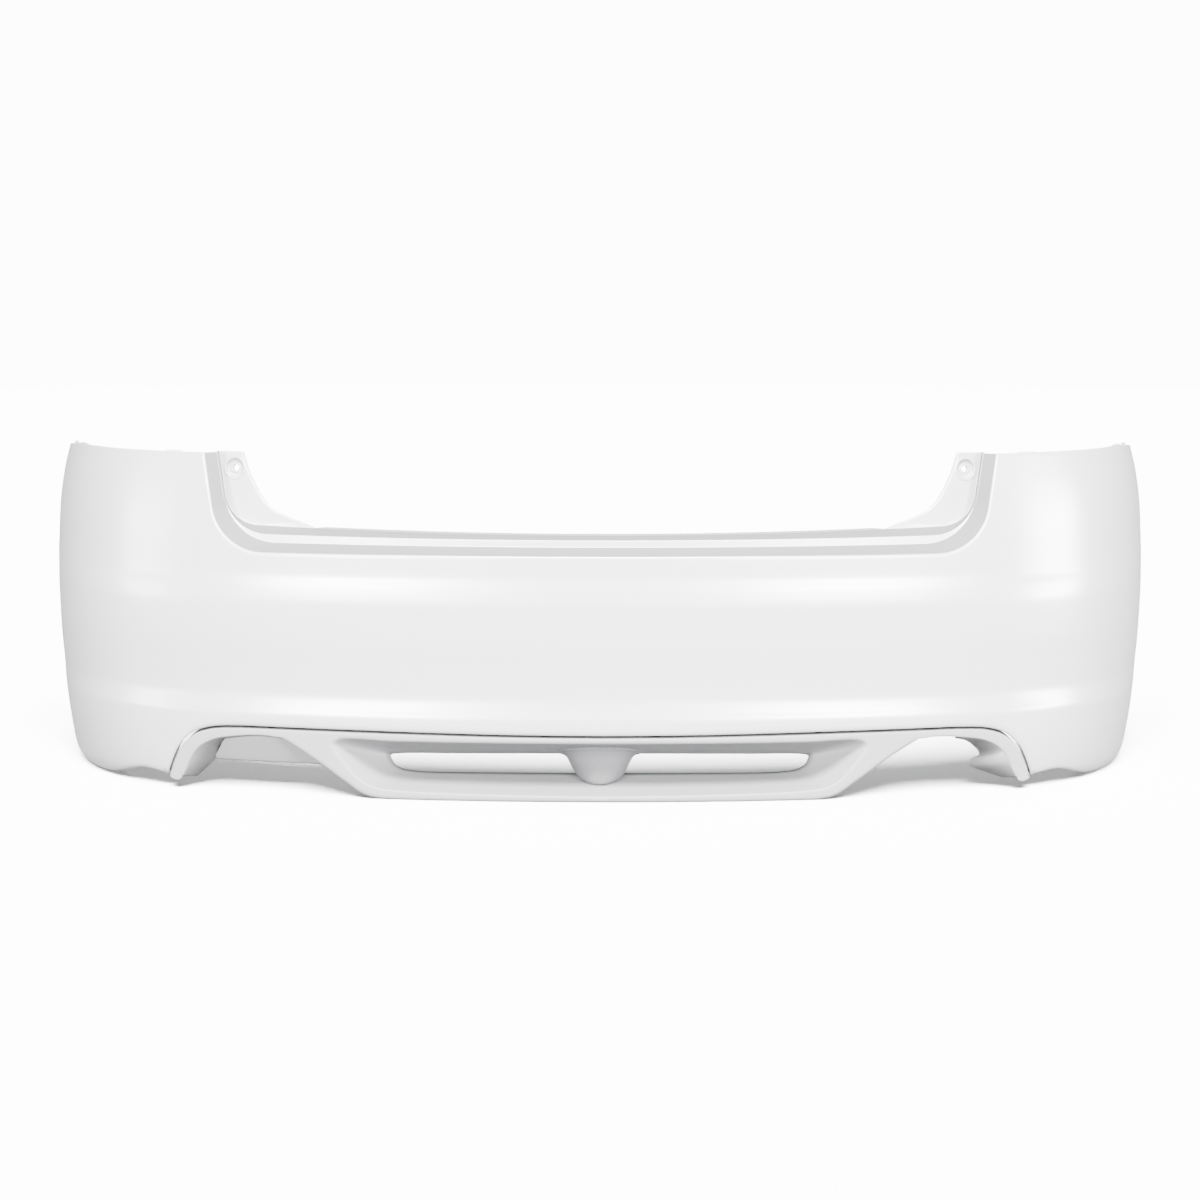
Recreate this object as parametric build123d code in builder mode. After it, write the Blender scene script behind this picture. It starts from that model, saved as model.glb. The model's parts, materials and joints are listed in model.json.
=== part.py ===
from build123d import *
from math import asin, atan2, cos, hypot, pi, sin
import os

# Rear bumper cover of a compact saloon: the skin, its lower valance with a centre fin, and the
# hardware that holds them together. Millimetres, +Z up, rear face towards -Y, wings towards +Y.
# The origin is on the floor under the middle of the whole cover.

# Whole cover
HALF_WIDTH = 875.0
DEPTH = 620.0
REAR = -DEPTH / 2
WALL = 3.0
FIT_GAP = 0.4

# Plan of the rear face: a shallow bow that turns into each wing through a superellipse corner
BOW = 165.0
CORNER_POWER = 7.5
WING_POWER = 2.6
FLAT_SHARE = 0.88

# Level, loss of half width and setback of the rear face. The shoulder crease is at 328 and the
# lower flare runs from 153 down to 118.
LEVELS = [
    (0.0, 34.0, 22.0),
    (9.0, 27.0, 11.0),
    (22.0, 22.0, 4.5),
    (45.0, 18.0, 1.0),
    (85.0, 12.0, 0.0),
    (118.0, 8.5, 0.0),
    (134.0, 7.2, 3.5),
    (153.0, 5.8, 6.5),
    (190.0, 3.0, 5.0),
    (235.0, 1.0, 2.0),
    (283.0, 0.0, 1.0),
    (308.0, 0.0, 3.5),
    (328.0, 0.0, 7.0),
    (345.0, 1.0, 7.8),
    (400.0, 4.0, 10.0),
    (450.0, 11.0, 12.0),
    (512.0, 26.5, 14.5),
]
TOP = 503.0
TOP_LINE = [(REAR + 300.0, TOP), (REAR + 420.0, 495.0), (REAR + DEPTH + 5.0, 466.0)]

# Wheel arch and the flanges turned inwards along the wings
WHEEL_Y = REAR + 880.0
WHEEL_Z = 90.0
ARCH_RADIUS = 350.0
RETURN_REACH = 25.0

# Boot-lid recess: each contour is a nearly level bottom, a round corner and a leaning side.
# Bottom at the middle, rise towards the corner, corner radius, half width at the top, depth.
RECESS_RIM = (359.0, 0.0, 76.0, 583.0, 0.0)
LEDGE_INNER = (371.0, 1.0, 78.0, 563.0, 20.0)
LEDGE_OUTER = (381.0, 3.0, 66.0, 563.5, 20.0)
SILL_EDGE = (386.0, 9.0, 52.0, 566.0, 42.0)
SIDE_LEAN = 0.15
SILL_DEPTH = 42.0
SILL_FLANGE = 28.0
SILL_HOLES = [-330.0, -120.0, 120.0, 330.0]
SILL_HOLE_RADIUS = 4.0
TAB_BOSS = (541.0, 479.0)
TAB_BOSS_RADIUS = 14.0
TAB_HOLE_RADIUS = 4.75
TAB_DISH = 5.0

# Seam between cover and valance, and the two ledges that the fasteners clamp
SEAM_GAP = 3.0
SEAM_MIDDLE = 96.0
SEAM_RISE = 4.0
SEAM_FLAT = 480.0
LEDGE_REACH = 45.0
FASTENER_INSET = 33.0
SCREW_STATIONS = [-518.0, -490.0, -320.0, -80.0, 80.0, 320.0, 490.0, 518.0]
RIVET_STATIONS = {"left_outer": -430.0, "left_inner": -200.0, "right_inner": 200.0, "right_outer": 430.0}
RIVET_HOLE = 4.3

# Mouth of the valance: a funnel from the rear face to two slots, which the fin divides
SLOT_DEPTH = 110.0
MOUTH_RIM = [
    (0, 87), (150, 87), (300, 87), (384, 87), (392, 80), (381, 62), (366, 43),
    (351, 28), (332, 18.5), (292, 14), (150, 10.5), (0, 9),
]
SLOT_RIM = [
    (0, 53), (110, 53), (215, 53), (300, 53), (311, 51), (310, 44), (304, 36),
    (292, 30), (272, 27), (240, 25.5), (120, 24.5), (0, 24),
]
ARM_OUTER = [(470, 86), (442, 70), (414, 52), (374, 24), (346, 6), (320, 0.6), (292, 0), (0, 0)]
CUTOUT_RIM = [(545, 85), (567, 81), (586, 73), (598, 64), (606, 54), (611, 45), (616, 33), (622, 20)]
CUTOUT_BACK_LEFT = [(530, 77), (548, 72), (561, 62), (568, 53), (574, 45), (580, 37), (590, 27), (605, 13)]
CUTOUT_BACK_RIGHT = [(530, 77), (548, 72), (561, 62), (569, 51), (555, 44), (555, 34), (577, 24), (605, 13)]
CUTOUT_DEPTH = 46.0
ARM_RETURN = 40.0

# Closing panel of the left exhaust cut-out: height of its flange and where its face starts and ends
BLANK_TOP = 94.3
BLANK_INSET = 8.0
BLANK_LOWER = (50.0, 43.0)
BLANK_SCREWS = [-518.0, -490.0]

# Centre fin: half width at the slot floor, widening upwards, and the place of its nose
FIN_HALF_LOW = 36.0
FIN_LEAN = 0.52
FIN_LOW = 24.0
FIN_NOSE = 46.0
FIN_ROOF_GAP = 0.4
FIN_FLOOR_GAP = 0.9
FIN_SCREW = (18.0, 80.0)
FIN_SPAN = 90.0
FIN_BOSS_RADIUS = 5.0
FIN_BOSS_LENGTH = 14.0

# Screws, nuts and rivets
ARCH_NUT_ANGLES = [12.0, 34.0]
ARCH_NUT_REACH = 9.0
RETAINER_BOSSES = [640.0, 690.0, 740.0]
RETAINER_BOSS_Z = 486.0
RETAINER_BOSS_RADIUS = 5.0
RIVET_HEAD_RADIUS = 9.0
RIVET_LENGTH = 15.0
PIN_RADIUS = 2.2
PIN_GAP = 0.06
SCREW_HEAD_RADIUS = 6.0
SCREW_RADIUS = 2.0
SHEET = 1.0


def level(z):
    """Loss of half width and setback of the skin at height z."""
    for (z0, loss0, back0), (z1, loss1, back1) in zip(LEVELS, LEVELS[1:]):
        if z <= z1:
            share = (z - z0) / (z1 - z0)
            return loss0 + share * (loss1 - loss0), back0 + share * (back1 - back0)
    return LEVELS[-1][1:]


def skin_y(x, z):
    """Y of the outer skin at a place given by x and z."""
    loss, setback = level(z)
    share = min(1.0, abs(x) / (HALF_WIDTH - loss))
    turn = 1 - (1 - share**CORNER_POWER) ** (1 / WING_POWER)
    return REAR + setback + BOW * share**2 + (DEPTH - BOW - setback) * turn


def skin_slope(x, z):
    """Rise of y for each millimetre of x along the skin, on the right-hand side."""
    step = 0.01
    return (skin_y(x + step, z) - skin_y(x - step, z)) / (2 * step)


def plan_shares():
    """Shares of the half width that set out one half of a plan curve, closer in the corner."""
    first = asin(FLAT_SHARE ** (CORNER_POWER / 2))
    flat = [FLAT_SHARE * k / 8 for k in range(9)]
    return flat + [sin(first + (pi / 2 - first) * k / 7) ** (2 / CORNER_POWER) for k in range(1, 8)]


def plan_row(z, inset):
    """Points of the plan curve at height z, moved inwards along its normals, left to right."""
    loss, setback = level(z)
    half = HALF_WIDTH - loss
    run = DEPTH - BOW - setback
    right = []
    for share in plan_shares():
        lift = max(0.0, 1 - share**CORNER_POWER)
        y = REAR + setback + BOW * share**2 + run * (1 - lift ** (1 / WING_POWER))
        if lift < 1e-9:
            right.append((half - inset, y))
            continue
        bend = CORNER_POWER / WING_POWER * share ** (CORNER_POWER - 1) * lift ** (1 / WING_POWER - 1)
        slope = (2 * BOW * share + run * bend) / half
        size = hypot(1, slope)
        right.append((share * half - inset * slope / size, y + inset / size))
    left = [(-x, y) for x, y in reversed(right[1:])]
    return left + right


def closed_plan(outer, inner, z):
    """Flat section at height z between two rows of plan points."""
    with BuildSketch(Plane.XY.offset(z)) as section:
        with BuildLine():
            Spline(*outer)
            Line(outer[-1], inner[-1])
            Spline(*reversed(inner))
            Line(inner[0], outer[0])
        make_face()
    return section.sketch


def shell(near, far, lowest=0.0):
    """Solid between the skin moved inwards by near and by far, along its normals."""
    heights = [z for z, _, _ in LEVELS if z >= lowest]
    with BuildPart() as body:
        loft(sections=[closed_plan(plan_row(z, near), plan_row(z, far), z) for z in heights], ruled=True)
    return body.part


def rear_row(z, shift, reach):
    """Points of the rear face at height z, moved forwards by shift, out to x = reach."""
    count = 12
    places = [reach * k / count for k in range(-count, count + 1)]
    return [(x, skin_y(x, z) + shift) for x in places]


def lower_slab(near, far):
    """Upright slab behind the lower rear face, between two distances forwards of it."""
    reach = 665.0
    with BuildPart() as body:
        with BuildSketch(Plane.XY.offset(-5)):
            with BuildLine():
                outer = Spline(*rear_row(90, near, reach))
                inner = Spline(*rear_row(90, far, reach))
                Line(outer @ 0, inner @ 0)
                Line(outer @ 1, inner @ 1)
            make_face()
        extrude(amount=130)
    return body.part


def upper_slab(near, far):
    """Slab behind the rear face above the shoulder, between two distances forwards of it."""
    reach = 620.0
    heights = [345.0, 400.0, 450.0, 512.0]
    rows = [(rear_row(z, near, reach), rear_row(z, far, reach), z) for z in heights]
    with BuildPart() as body:
        loft(sections=[closed_plan(*row) for row in rows], ruled=True)
    return body.part


def beside(points, distance):
    """A row of points moved sideways by distance, to the left of the way it runs."""
    moved = []
    last = len(points) - 1
    for k, (x, z) in enumerate(points):
        x0, z0 = points[max(k - 1, 0)]
        x1, z1 = points[min(k + 1, last)]
        size = hypot(x1 - x0, z1 - z0)
        moved.append((x - distance * (z1 - z0) / size, z + distance * (x1 - x0) / size))
    return moved


def both_sides(points):
    """A right-hand row that starts at x = 0, continued to the left-hand side."""
    return [(-x, z) for x, z in reversed(points[1:])] + list(points)


def band(points, near, far, curve=Spline):
    """Prism along Y over a strip beside a row of points, seen from the rear."""
    first = beside(points, near)
    second = beside(points, far)
    with BuildPart() as body:
        with BuildSketch(Plane.XZ):
            with BuildLine():
                curve(*first)
                Line(first[-1], second[-1])
                curve(*reversed(second))
                Line(second[0], first[0])
            make_face()
        extrude(amount=DEPTH, both=True)
    return body.part


def ribbon(rows):
    """Wall lofted through flat sections, as a list of solids between neighbouring sections.
    Each row is a near point, a far point and a thickness."""
    rings = [Wire.make_polygon([a, b, b + t, a + t], close=True) for a, b, t in rows]
    return [Solid.make_loft(pair, ruled=True) for pair in zip(rings, rings[1:])]


def cutout_wall(back, side):
    """Drafted wall from the rim of an exhaust cut-out to a matching back edge."""
    rows = []
    for (x, z), (u, w), (tx, tz) in zip(CUTOUT_RIM, back, beside(CUTOUT_RIM, WALL)):
        near = Vector(side * x, skin_y(x, 90) + WALL / 2, z)
        far = Vector(side * u, skin_y(u, 90) + CUTOUT_DEPTH, w)
        rows.append((near, far, Vector(side * (tx - x), 0, tz - z)))
    return ribbon(rows)


def funnel(grow, stop):
    """Solid that tapers through the mouth's rim and the slot outline, both grown outwards."""
    rings = []
    for y in (REAR - 5, stop):
        half = []
        for (x, z), (u, w) in zip(beside(MOUTH_RIM, grow), beside(SLOT_RIM, grow)):
            start = skin_y(x, 90)
            share = (y - start) / (REAR + SLOT_DEPTH - start)
            half.append(Vector(x + share * (u - x), y, z + share * (w - z)))
        ring = half + [Vector(-p.X, p.Y, p.Z) for p in reversed(half[1:-1])]
        rings.append(Wire.make_polygon(ring, close=True))
    return Solid.make_loft(rings, ruled=True)


def seam_height(x):
    """Height of the seam over the middle part of its run."""
    return SEAM_MIDDLE + SEAM_RISE * sin(pi / 2 * min(abs(x), SEAM_FLAT) / SEAM_FLAT) ** 2


def seam_path():
    """Seam centre line on the right-hand side: level, then down round the exhaust cut-out."""
    level_part = [(x, seam_height(x)) for x in (0, 120, 240, 360, 480)]
    return level_part + [(535, 99.5), (575, 96), (603, 86), (625, 65), (637, 41), (645, 18)]


def recess_point(contour, station):
    """Point of a recess contour: station 0-1 along the bottom, 1-2 round the corner, 2-3 up."""
    bottom, rise, radius, top_half, depth = contour
    lean = atan2(SIDE_LEAN, 1)
    floor = bottom + rise
    centre_z = floor + radius
    centre_x = top_half - SIDE_LEAN * (TOP - centre_z) - radius / cos(lean)
    if station <= 1:
        x = station * centre_x
        return x, bottom + rise * station**2, depth
    if station <= 2:
        turn = (station - 1) * (pi / 2 - lean)
        return centre_x + radius * sin(turn), centre_z - radius * cos(turn), depth
    start = centre_z - radius * sin(lean)
    z = start + (station - 2) * (TOP + 4 - start)
    return top_half - SIDE_LEAN * (TOP - z), z, depth


def recess_wall():
    """Stepped wall of the boot-lid recess on the right: ledge, strip, ledge, then the sill."""
    stations = [0, 0.3, 0.6, 0.85, 1, 1.2, 1.4, 1.6, 1.8, 2, 2.3, 2.65, 3]
    rings = []
    for station in stations:
        rim, inner, outer, sill = [
            recess_point(c, station) for c in (RECESS_RIM, LEDGE_INNER, LEDGE_OUTER, SILL_EDGE)
        ]
        if station == 3:
            rim, inner, outer, sill = [(x, TOP + 4, d) for x, _, d in (rim, inner, outer, sill)]
        way = hypot(inner[0] - rim[0], inner[1] - rim[1])
        sunk = (rim[0] - (inner[0] - rim[0]) / way, rim[1] - (inner[1] - rim[1]) / way, 1.2)
        front = [sunk, inner, outer, sill]
        ring = [Vector(x, skin_y(x, z) + d, z) for x, z, d in front]
        thickness = Vector((rim[0] - inner[0]) / way * 2.6, 2.4, (rim[1] - inner[1]) / way * 2.6)
        if station in (0, 3):
            thickness = Vector(2.6 if station else 0, 2.4, 0 if station else -2.6)
        ring += [p + thickness for p in reversed(ring)]
        rings.append(Wire.make_polygon(ring, close=True))
    return Solid.make_loft(rings, ruled=True)


def surface_plane(x, z, depth):
    """Plane on the skin at x and z, moved inwards by depth, with its Z axis pointing out."""
    side = 1 if x >= 0 else -1
    rise = (skin_y(x, z + 1) - skin_y(x, z - 1)) / 2
    out = Vector(side * skin_slope(abs(x), z), -1, rise).normalized()
    foot = Vector(x, skin_y(x, z), z)
    return Plane(origin=foot - out * depth, x_dir=Vector(0, 0, 1), z_dir=out)


def ledge_plane(x, top):
    """Level plane at a fastener station on the seam ledges, at a height above the seam."""
    origin = (x, skin_y(x, 90) + FASTENER_INSET, seam_height(x) + top)
    slope = skin_slope(abs(x), 90) if x > 0 else -skin_slope(abs(x), 90)
    return Plane(origin=origin, x_dir=(-slope, 1, 0), z_dir=(0, 0, 1))


def sill_plane(x):
    """Level plane on top of the sill flange at a clip hole."""
    share = abs(x) / recess_point(SILL_EDGE, 1)[0]
    z = SILL_EDGE[0] + SILL_EDGE[1] * share**2
    return Plane(origin=(x, skin_y(x, z) + SILL_DEPTH + 16, z), z_dir=(0, 0, 1))


def arch_plane(side, angle):
    """Plane on the wheel-side face of an arch flange, with Z towards the wheel and X inwards."""
    turn = angle * pi / 180
    out = Vector(0, -cos(turn), sin(turn))
    foot = Vector(0, WHEEL_Y, WHEEL_Z) + out * ARCH_RADIUS
    loss, _ = level(foot.Z)
    free_edge = HALF_WIDTH - loss - RETURN_REACH - 2
    foot.X = side * (free_edge + ARCH_NUT_REACH)
    return Plane(origin=foot, x_dir=Vector(-side, 0, 0), z_dir=out * -1)


def u_nut(plane, grip, reach):
    """Sprung steel nut pushed over a panel edge. The plane lies on the panel's near face, with
    its Z axis out of the panel and its X axis towards the panel's free edge."""
    width = 14.0
    tail = 8.0
    gap = grip + 2 * FIT_GAP
    length = tail + reach + FIT_GAP + SHEET
    middle = (reach + FIT_GAP + SHEET - tail) / 2
    with BuildPart(plane) as nut:
        with Locations((middle, 0, -grip / 2)):
            Box(length, width, gap + 2 * SHEET)
        with Locations((middle - SHEET, 0, -grip / 2)):
            Box(length, width + 2, gap, mode=Mode.SUBTRACT)
        with Locations((0, 0, -grip - FIT_GAP - SHEET - 1.5)):
            Cylinder(3.6, 3.0)
        with Locations((0, 0, -grip / 2)):
            Cylinder(SCREW_RADIUS + 0.2, grip + 20, mode=Mode.SUBTRACT)
    return nut.part


def pan_screw(plane, length):
    """Cross-head tapping screw. The plane lies under its head, with its Z axis out of the head."""
    with BuildPart(plane) as screw:
        with Locations((0, 0, 1.6)):
            Cylinder(SCREW_HEAD_RADIUS, 3.2)
        fillet(screw.faces().sort_by(Axis(plane.origin, plane.z_dir))[-1].edges(), 1.2)
        with Locations((0, 0, -length / 2)):
            Cylinder(SCREW_RADIUS, length)
        with Locations((0, 0, 2.6)):
            Box(5.0, 1.2, 1.6, mode=Mode.SUBTRACT)
            Box(1.2, 5.0, 1.6, mode=Mode.SUBTRACT)
    return screw.part


def rivet_body(plane):
    """Push rivet: flanged head above the plane, and a split hollow shank below it."""
    with BuildPart(plane) as body:
        with Locations((0, 0, 1)):
            Cylinder(RIVET_HEAD_RADIUS, 2)
        with Locations((0, 0, -RIVET_LENGTH / 2)):
            Cylinder(RIVET_HOLE - FIT_GAP, RIVET_LENGTH)
        with Locations((0, 0, -RIVET_LENGTH / 2)):
            Cylinder(PIN_RADIUS + PIN_GAP, RIVET_LENGTH + 10, mode=Mode.SUBTRACT)
        with Locations((0, 0, -RIVET_LENGTH)):
            Box(1.2, 12, 9, mode=Mode.SUBTRACT)
            Box(12, 1.2, 9, mode=Mode.SUBTRACT)
    return body.part


def rivet_pin(plane):
    """Centre pin of a push rivet, pressed home."""
    with BuildPart(plane) as pin:
        with Locations((0, 0, 2.3 + 0.8)):
            Cylinder(RIVET_HEAD_RADIUS - 4, 1.6)
        with Locations((0, 0, (2.3 - RIVET_LENGTH) / 2)):
            Cylinder(PIN_RADIUS, RIVET_LENGTH + 2.3)
        fillet(pin.faces().sort_by(Axis(plane.origin, plane.z_dir))[-1].edges(), 0.6)
    return pin.part


def roof_height(inset):
    """Height of the underside of the mouth's roof on the centre line."""
    return MOUTH_RIM[0][1] + (SLOT_RIM[0][1] - MOUTH_RIM[0][1]) * inset / SLOT_DEPTH


def floor_height(inset):
    """Height of the top of the mouth's floor on the centre line."""
    return MOUTH_RIM[-1][1] + (SLOT_RIM[-1][1] - MOUTH_RIM[-1][1]) * inset / SLOT_DEPTH


def fin_side_view(drop):
    """Corners of the fin seen from the side, with its top lowered by drop: top edge first."""
    rear, front = 20.0, SLOT_DEPTH - FIT_GAP
    return [
        (REAR + rear, roof_height(rear) - FIN_ROOF_GAP - drop),
        (REAR + front, roof_height(front) - FIN_ROOF_GAP - drop),
        (REAR + front, floor_height(front) + FIN_FLOOR_GAP),
        (REAR + rear, floor_height(rear) + FIN_FLOOR_GAP),
    ]


def fin_section(z, inset):
    """Rounded prow at height z, as wide as the fin less inset on each side, open to the front."""
    half = FIN_HALF_LOW + FIN_LEAN * (z - FIN_LOW) - inset
    nose = REAR + FIN_NOSE + inset
    front = REAR + SLOT_DEPTH + (WALL if inset else 0)
    shoulder = nose + 0.42 * (front - nose)
    with BuildSketch(Plane.XY.offset(z)) as section:
        with BuildLine():
            Spline((-half, front), (-0.78 * half, shoulder), (0, nose), (0.78 * half, shoulder), (half, front))
            Line((half, front), (-half, front))
        make_face()
    return section.sketch


def fin_screw_plane(side):
    """Plane on the mouth's roof at a fin screw, with its Z axis square to the roof."""
    x, inset = FIN_SCREW
    tilt = atan2(roof_height(0) - roof_height(100), 100)
    origin = (side * x, REAR + inset, roof_height(inset) + WALL + 0.2)
    return Plane(origin=origin, x_dir=(1, 0, 0), z_dir=(0, sin(tilt), cos(tilt)))


def blank_row(x_top, x_low):
    """Section of the sloping face of the closing panel, from its flange to its lower edge."""
    inset, z = BLANK_LOWER
    near = Vector(x_top, skin_y(x_top, 90) + BLANK_INSET, BLANK_TOP - WALL)
    return near, Vector(x_low, skin_y(x_low, 90) + inset, z), Vector(0, 2.1, 2.1)


def retainer_outline(side):
    """Corners of a side retainer seen from the rear: a strip with hooks along its top edge."""
    strip = [(604, 472), (604, 499.5), (616, 499.5), (619, 505), (643, 505), (646, 499.5)]
    slit_tab = [(784, 499.5), (786, 504), (803, 504), (805, 498.5)]
    end_hook = [(809, 497.5), (812, 503.5), (822, 502), (826, 493), (828, 470)]
    return [(side * x, z) for x, z in strip + slit_tab + end_hook]


# The cover's skin, from the loft through all levels
skin_shell = shell(0, WALL)
wing_slab = shell(1, RETURN_REACH)
recess_half = recess_wall()
sill_slab = upper_slab(SILL_DEPTH - 1, SILL_DEPTH + SILL_FLANGE)
tab_slab = upper_slab(SILL_DEPTH, SILL_DEPTH + WALL + 0.6)
seam = both_sides(seam_path())
bottom_line = [(645, 18), (665, 22), (700, 23.5), (740, 21), (765, 14), (785, 9), (815, 0)]

with BuildPart() as wing_returns:
    with BuildSketch(Plane.XZ):
        for side in (1, -1):
            line = [(side * x, z) for x, z in bottom_line + [(890, 0)]]
            raised = [(x, z + WALL) for x, z in reversed(line)]
            with BuildLine():
                Polyline(*line, *raised, close=True)
            make_face()
    extrude(amount=DEPTH, both=True)
    with BuildSketch(Plane.YZ):
        with BuildLine():
            side_edge = TOP_LINE[1:]
            Polyline(*side_edge, *[(y, z - WALL) for y, z in reversed(side_edge)], close=True)
        make_face()
        with Locations((WHEEL_Y, WHEEL_Z)):
            Circle(ARCH_RADIUS + WALL)
    extrude(amount=HALF_WIDTH + 5, both=True)
    with BuildSketch(Plane.YZ):
        with Locations((WHEEL_Y, WHEEL_Z)):
            Circle(ARCH_RADIUS)
    extrude(amount=HALF_WIDTH + 5, both=True, mode=Mode.SUBTRACT)
    add(wing_slab, mode=Mode.INTERSECT)

with BuildPart() as sill_flange:
    edge = [recess_point(SILL_EDGE, s)[:2] for s in (0, 0.3, 0.6, 0.8)]
    with BuildSketch(Plane.XZ):
        with BuildLine():
            top = Spline(*both_sides(edge))
            low = Spline(*both_sides([(x, z - WALL) for x, z in edge]))
            Line(top @ 0, low @ 0)
            Line(top @ 1, low @ 1)
        make_face()
    extrude(amount=DEPTH, both=True)
    add(sill_slab, mode=Mode.INTERSECT)

with BuildPart() as tab:
    with BuildSketch(Plane.XZ):
        with BuildLine():
            edge = Spline((424, 395), (486, 422), (515, 466), (529, TOP + 4))
            wall_side = [(568, TOP + 4), (560, 445), (548, 418), (526, 401), (480, 392), (424, 388)]
            Polyline(edge @ 1, *wall_side, edge @ 0)
        make_face()
    extrude(amount=DEPTH, both=True)
    add(tab_slab, mode=Mode.INTERSECT)

with BuildPart() as lip_ledge:
    add(band(seam, SEAM_GAP / 2, SEAM_GAP / 2 + WALL))
    add(lower_slab(1, LEDGE_REACH), mode=Mode.INTERSECT)

with BuildPart() as cover_bosses:
    for side in (1, -1):
        dish = surface_plane(side * TAB_BOSS[0], TAB_BOSS[1], SILL_DEPTH - 2)
        with BuildSketch(dish.offset(-TAB_DISH - 2 * WALL)):
            Circle(TAB_BOSS_RADIUS + 2)
        extrude(amount=TAB_DISH + WALL)
        for x in RETAINER_BOSSES:
            with BuildSketch(surface_plane(side * x, RETAINER_BOSS_Z, WALL - 1)):
                Circle(RETAINER_BOSS_RADIUS)
            extrude(amount=-(1 + FIT_GAP + WALL))

# Every hole in the cover: tab dishes and bolt holes, liner screws, retainer screws, sill clips
# and the fasteners of the seam ledge
with BuildPart() as cover_holes:
    for side in (1, -1):
        dish = surface_plane(side * TAB_BOSS[0], TAB_BOSS[1], SILL_DEPTH - 3)
        with BuildSketch(dish.offset(-TAB_DISH - WALL)):
            Circle(TAB_BOSS_RADIUS - 1)
        extrude(amount=TAB_DISH + WALL + 2)
        with BuildSketch(dish.offset(-TAB_DISH - 3 * WALL)):
            Circle(TAB_HOLE_RADIUS)
        extrude(amount=TAB_DISH + 4 * WALL)
        for angle in ARCH_NUT_ANGLES:
            with BuildSketch(arch_plane(side, angle).offset(2)):
                Circle(SCREW_RADIUS + 1)
            extrude(amount=-10)
        for x in RETAINER_BOSSES:
            with BuildSketch(surface_plane(side * x, RETAINER_BOSS_Z, WALL)):
                Circle(SCREW_RADIUS + 0.1)
            extrude(amount=-12)
    for x in SILL_HOLES:
        with BuildSketch(sill_plane(x).offset(5)):
            Circle(SILL_HOLE_RADIUS)
        extrude(amount=-12)
    for x in [*SCREW_STATIONS, *RIVET_STATIONS.values()]:
        with BuildSketch(ledge_plane(x, 12)):
            Circle(RIVET_HOLE)
        extrude(amount=-12)

with BuildPart() as cover_cuts:
    # Recess, and everything below the seam and the wing bottoms, seen from the rear
    with BuildSketch(Plane.XZ):
        rim = [recess_point(RECESS_RIM, s)[:2] for s in (0, 0.5, 1, 1.33, 1.66, 2, 2.5, 3)]
        with BuildLine():
            curve = Spline(*both_sides(rim))
            Polyline(curve @ 0, (-583, 540), (583, 540), curve @ 1)
        make_face()
        with BuildLine():
            curve = Spline(*beside(seam, SEAM_GAP / 2))
            right = [curve @ 1] + bottom_line[1:] + [(815, -20)]
            left = [(-815, -20)] + [(-x, z) for x, z in reversed(bottom_line[1:])] + [curve @ 0]
            Polyline(*right, *left)
        make_face()
    extrude(amount=DEPTH, both=True)
    # Top edge, which falls towards the wheel, and the wheel arch
    with BuildSketch(Plane.YZ):
        with BuildLine():
            Polyline((REAR - 5, TOP), *TOP_LINE, (DEPTH / 2 + 5, 540), (REAR - 5, 540), close=True)
        make_face()
        with Locations((WHEEL_Y, WHEEL_Z)):
            Circle(ARCH_RADIUS)
    extrude(amount=HALF_WIDTH + 5, both=True)

with BuildPart() as recess_walls:
    add(recess_half)
    add(recess_half.mirror(Plane.YZ))
    add(sill_flange.part)
    add(tab.part)
    add(tab.part.mirror(Plane.YZ))
    with Locations((0, 0, TOP + 20)):
        Box(2 * HALF_WIDTH, 2 * DEPTH, 40, mode=Mode.SUBTRACT)

with BuildPart() as main_cover:
    add(skin_shell)
    add(cover_cuts.part, mode=Mode.SUBTRACT)
    add([wing_returns.part, lip_ledge.part, recess_walls.part, cover_bosses.part])
    add(cover_holes.part, mode=Mode.SUBTRACT)
main_cover.part.label = "main_cover"


# Lower valance: band, arms and lip in one face, with the mouth cut through it
arm_line = ARM_OUTER + [(-x, z) for x, z in reversed(ARM_OUTER[:-1])]

with BuildPart() as valance_ledge:
    add(band(seam, -SEAM_GAP / 2, -SEAM_GAP / 2 - WALL))
    add(lower_slab(1, LEDGE_REACH), mode=Mode.INTERSECT)

with BuildPart() as arm_return:
    add(band(arm_line, 0, -WALL, Polyline))
    add(lower_slab(1, ARM_RETURN), mode=Mode.INTERSECT)

with BuildPart() as mouth_walls:
    add(funnel(WALL, REAR + SLOT_DEPTH))
    add(lower_slab(1, 2 * SLOT_DEPTH), mode=Mode.INTERSECT)

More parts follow.
